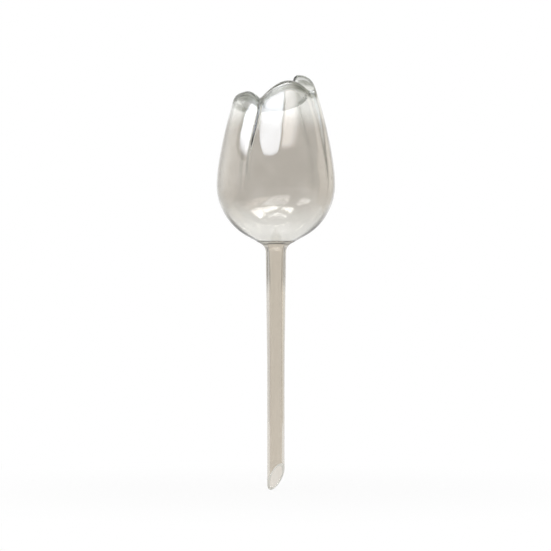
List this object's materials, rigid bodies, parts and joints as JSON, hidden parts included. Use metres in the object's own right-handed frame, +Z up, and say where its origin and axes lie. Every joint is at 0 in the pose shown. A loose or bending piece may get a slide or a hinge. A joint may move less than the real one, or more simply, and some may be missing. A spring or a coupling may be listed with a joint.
{
  "type": "watering globe",
  "caption": "Clear tulip-shaped watering globe: a closed blown bulb of whorled petals on a hollow stem whose slant-cut tip is pushed into potting soil.",
  "frame": {"origin": "stem axis at the soil line, which is the top of the stem's parallel shank", "axes": "+Z up the stem to the bulb, -Y towards the viewer of the picture, +X to the viewer's right"},
  "size_m": [0.0754, 0.0753, 0.2643],
  "materials": {
    "clear_bulb": "clear smoky blown plastic, glossy",
    "clear_weld": "clear smoky plastic, melted and set",
    "clear_stem": "clear smoky drawn tube, glossy"
  },
  "bodies": {
    "root": {"tulip_bulb": "clear_bulb", "neck_weld_bead": "clear_weld", "stem_tube": "clear_stem"}
  },
  "joints": []
}
